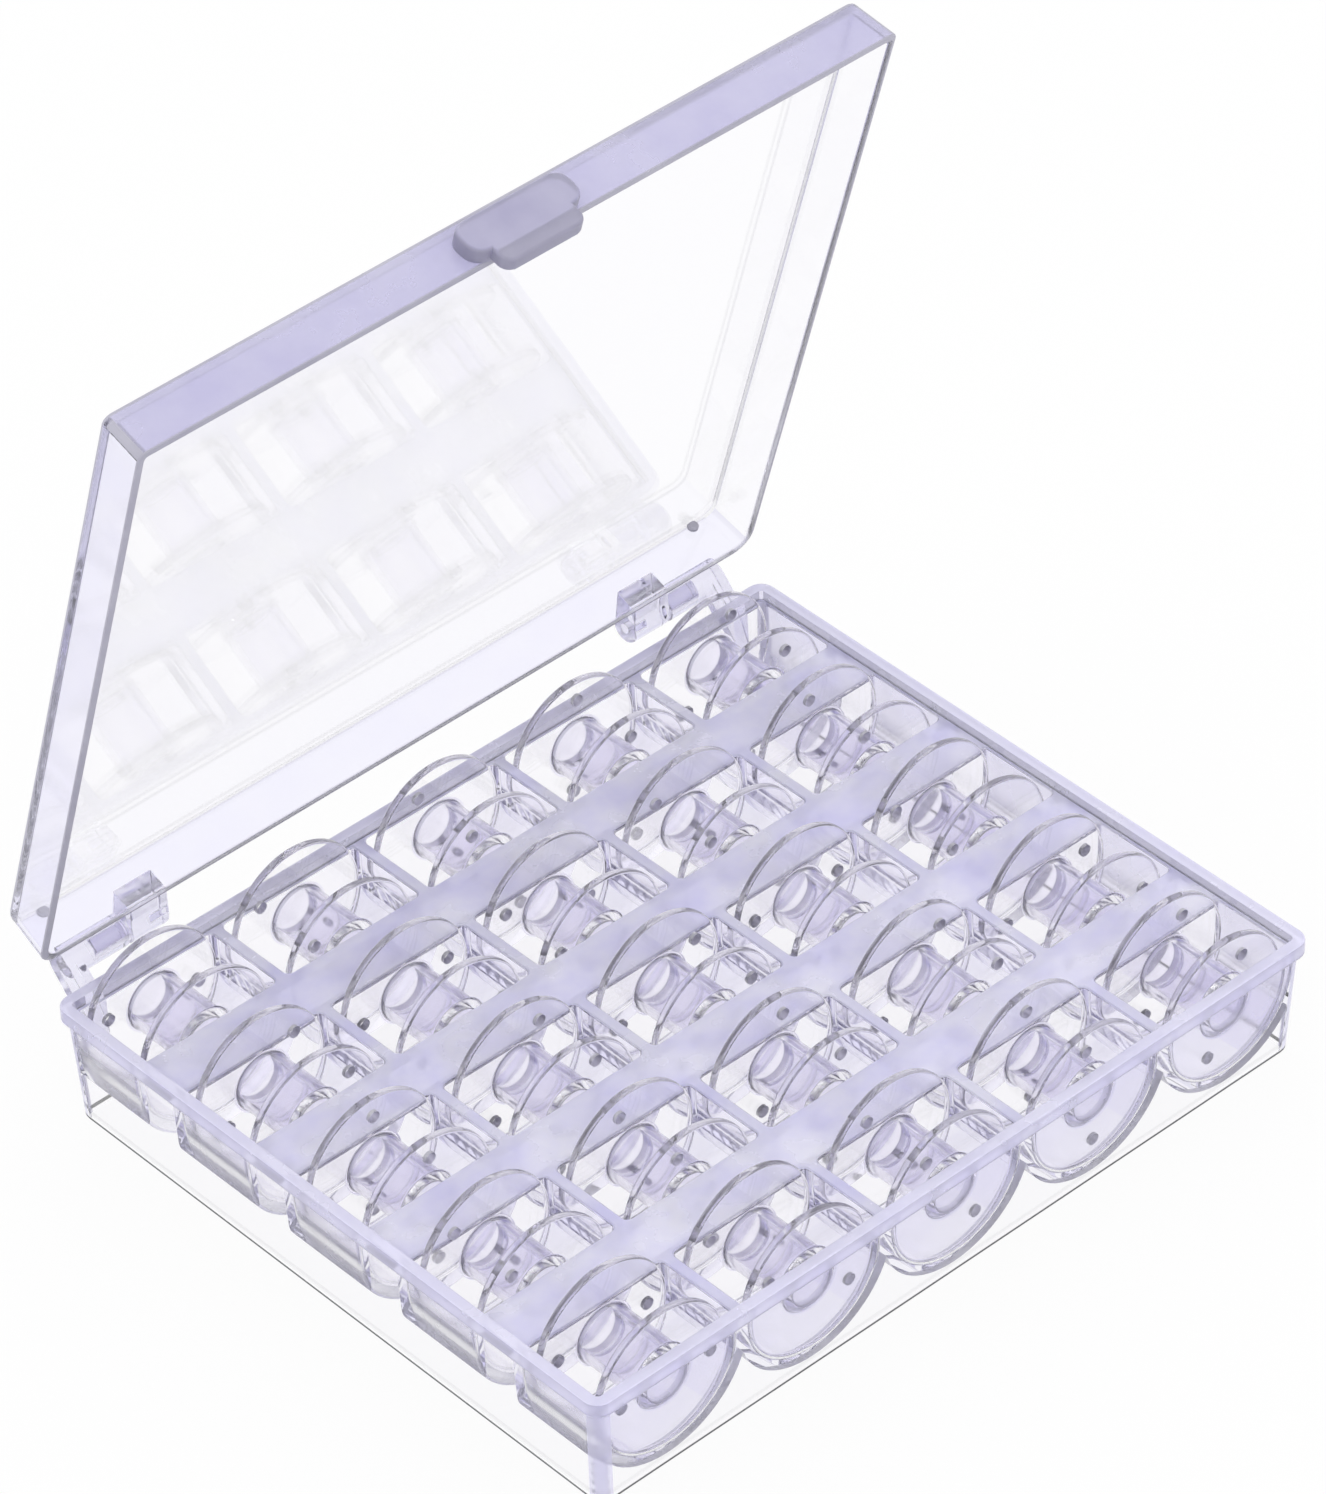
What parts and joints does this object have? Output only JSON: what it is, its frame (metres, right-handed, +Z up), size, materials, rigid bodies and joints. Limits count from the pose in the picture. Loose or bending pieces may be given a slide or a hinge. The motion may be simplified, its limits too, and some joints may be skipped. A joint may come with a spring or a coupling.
{
  "type": "bobbin box",
  "caption": "Clear violet-tinted plastic box for sewing-machine bobbins: a tray of round-bottomed cups, a hinged lid with a snap latch, and a clear bobbin standing on edge in every cup.",
  "frame": {"origin": "on the table under the middle of the tray", "axes": "+X along the hinge, -Y towards the latch side, +Z up; the lid is stored open and leaning back over the tray as in the picture"},
  "size_m": [0.1206, 0.1089, 0.122],
  "materials": {
    "tinted_plastic": "glossy see-through polystyrene with a faint violet tint",
    "clear_plastic": "glossy clear polystyrene"
  },
  "bodies": {
    "tray": {"base_tray": "tinted_plastic"},
    "lid": {"lid": "tinted_plastic"},
    "bobbin_r1_c1": {"bobbin_r1_c1": "clear_plastic"},
    "bobbin_r1_c2": {"bobbin_r1_c2": "clear_plastic"},
    "bobbin_r1_c3": {"bobbin_r1_c3": "clear_plastic"},
    "bobbin_r1_c4": {"bobbin_r1_c4": "clear_plastic"},
    "bobbin_r1_c5": {"bobbin_r1_c5": "clear_plastic"},
    "bobbin_r2_c1": {"bobbin_r2_c1": "clear_plastic"},
    "bobbin_r2_c2": {"bobbin_r2_c2": "clear_plastic"},
    "bobbin_r2_c3": {"bobbin_r2_c3": "clear_plastic"},
    "bobbin_r2_c4": {"bobbin_r2_c4": "clear_plastic"},
    "bobbin_r2_c5": {"bobbin_r2_c5": "clear_plastic"},
    "bobbin_r3_c1": {"bobbin_r3_c1": "clear_plastic"},
    "bobbin_r3_c2": {"bobbin_r3_c2": "clear_plastic"},
    "bobbin_r3_c3": {"bobbin_r3_c3": "clear_plastic"},
    "bobbin_r3_c4": {"bobbin_r3_c4": "clear_plastic"},
    "bobbin_r3_c5": {"bobbin_r3_c5": "clear_plastic"},
    "bobbin_r4_c1": {"bobbin_r4_c1": "clear_plastic"},
    "bobbin_r4_c2": {"bobbin_r4_c2": "clear_plastic"},
    "bobbin_r4_c3": {"bobbin_r4_c3": "clear_plastic"},
    "bobbin_r4_c4": {"bobbin_r4_c4": "clear_plastic"},
    "bobbin_r4_c5": {"bobbin_r4_c5": "clear_plastic"},
    "bobbin_r5_c1": {"bobbin_r5_c1": "clear_plastic"},
    "bobbin_r5_c2": {"bobbin_r5_c2": "clear_plastic"},
    "bobbin_r5_c3": {"bobbin_r5_c3": "clear_plastic"},
    "bobbin_r5_c4": {"bobbin_r5_c4": "clear_plastic"},
    "bobbin_r5_c5": {"bobbin_r5_c5": "clear_plastic"}
  },
  "joints": [
    {"name": "lid_hinge", "type": "hinge", "parent": "tray", "child": "lid", "pos_m": [0, 0.054, 0.0189], "axis": [-1, 0, 0], "range_deg": [-73.4, 106.6]},
    {"name": "bobbin_r1_c1_lift", "type": "slide", "parent": "tray", "child": "bobbin_r1_c1", "axis": [0, 0, 1], "range_m": [0, 0.03]},
    {"name": "bobbin_r1_c2_lift", "type": "slide", "parent": "tray", "child": "bobbin_r1_c2", "axis": [0, 0, 1], "range_m": [0, 0.03]},
    {"name": "bobbin_r1_c3_lift", "type": "slide", "parent": "tray", "child": "bobbin_r1_c3", "axis": [0, 0, 1], "range_m": [0, 0.03]},
    {"name": "bobbin_r1_c4_lift", "type": "slide", "parent": "tray", "child": "bobbin_r1_c4", "axis": [0, 0, 1], "range_m": [0, 0.03]},
    {"name": "bobbin_r1_c5_lift", "type": "slide", "parent": "tray", "child": "bobbin_r1_c5", "axis": [0, 0, 1], "range_m": [0, 0.03]},
    {"name": "bobbin_r2_c1_lift", "type": "slide", "parent": "tray", "child": "bobbin_r2_c1", "axis": [0, 0, 1], "range_m": [0, 0.03]},
    {"name": "bobbin_r2_c2_lift", "type": "slide", "parent": "tray", "child": "bobbin_r2_c2", "axis": [0, 0, 1], "range_m": [0, 0.03]},
    {"name": "bobbin_r2_c3_lift", "type": "slide", "parent": "tray", "child": "bobbin_r2_c3", "axis": [0, 0, 1], "range_m": [0, 0.03]},
    {"name": "bobbin_r2_c4_lift", "type": "slide", "parent": "tray", "child": "bobbin_r2_c4", "axis": [0, 0, 1], "range_m": [0, 0.03]},
    {"name": "bobbin_r2_c5_lift", "type": "slide", "parent": "tray", "child": "bobbin_r2_c5", "axis": [0, 0, 1], "range_m": [0, 0.03]},
    {"name": "bobbin_r3_c1_lift", "type": "slide", "parent": "tray", "child": "bobbin_r3_c1", "axis": [0, 0, 1], "range_m": [0, 0.03]},
    {"name": "bobbin_r3_c2_lift", "type": "slide", "parent": "tray", "child": "bobbin_r3_c2", "axis": [0, 0, 1], "range_m": [0, 0.03]},
    {"name": "bobbin_r3_c3_lift", "type": "slide", "parent": "tray", "child": "bobbin_r3_c3", "axis": [0, 0, 1], "range_m": [0, 0.03]},
    {"name": "bobbin_r3_c4_lift", "type": "slide", "parent": "tray", "child": "bobbin_r3_c4", "axis": [0, 0, 1], "range_m": [0, 0.03]},
    {"name": "bobbin_r3_c5_lift", "type": "slide", "parent": "tray", "child": "bobbin_r3_c5", "axis": [0, 0, 1], "range_m": [0, 0.03]},
    {"name": "bobbin_r4_c1_lift", "type": "slide", "parent": "tray", "child": "bobbin_r4_c1", "axis": [0, 0, 1], "range_m": [0, 0.03]},
    {"name": "bobbin_r4_c2_lift", "type": "slide", "parent": "tray", "child": "bobbin_r4_c2", "axis": [0, 0, 1], "range_m": [0, 0.03]},
    {"name": "bobbin_r4_c3_lift", "type": "slide", "parent": "tray", "child": "bobbin_r4_c3", "axis": [0, 0, 1], "range_m": [0, 0.03]},
    {"name": "bobbin_r4_c4_lift", "type": "slide", "parent": "tray", "child": "bobbin_r4_c4", "axis": [0, 0, 1], "range_m": [0, 0.03]},
    {"name": "bobbin_r4_c5_lift", "type": "slide", "parent": "tray", "child": "bobbin_r4_c5", "axis": [0, 0, 1], "range_m": [0, 0.03]},
    {"name": "bobbin_r5_c1_lift", "type": "slide", "parent": "tray", "child": "bobbin_r5_c1", "axis": [0, 0, 1], "range_m": [0, 0.03]},
    {"name": "bobbin_r5_c2_lift", "type": "slide", "parent": "tray", "child": "bobbin_r5_c2", "axis": [0, 0, 1], "range_m": [0, 0.03]},
    {"name": "bobbin_r5_c3_lift", "type": "slide", "parent": "tray", "child": "bobbin_r5_c3", "axis": [0, 0, 1], "range_m": [0, 0.03]},
    {"name": "bobbin_r5_c4_lift", "type": "slide", "parent": "tray", "child": "bobbin_r5_c4", "axis": [0, 0, 1], "range_m": [0, 0.03]},
    {"name": "bobbin_r5_c5_lift", "type": "slide", "parent": "tray", "child": "bobbin_r5_c5", "axis": [0, 0, 1], "range_m": [0, 0.03]}
  ]
}
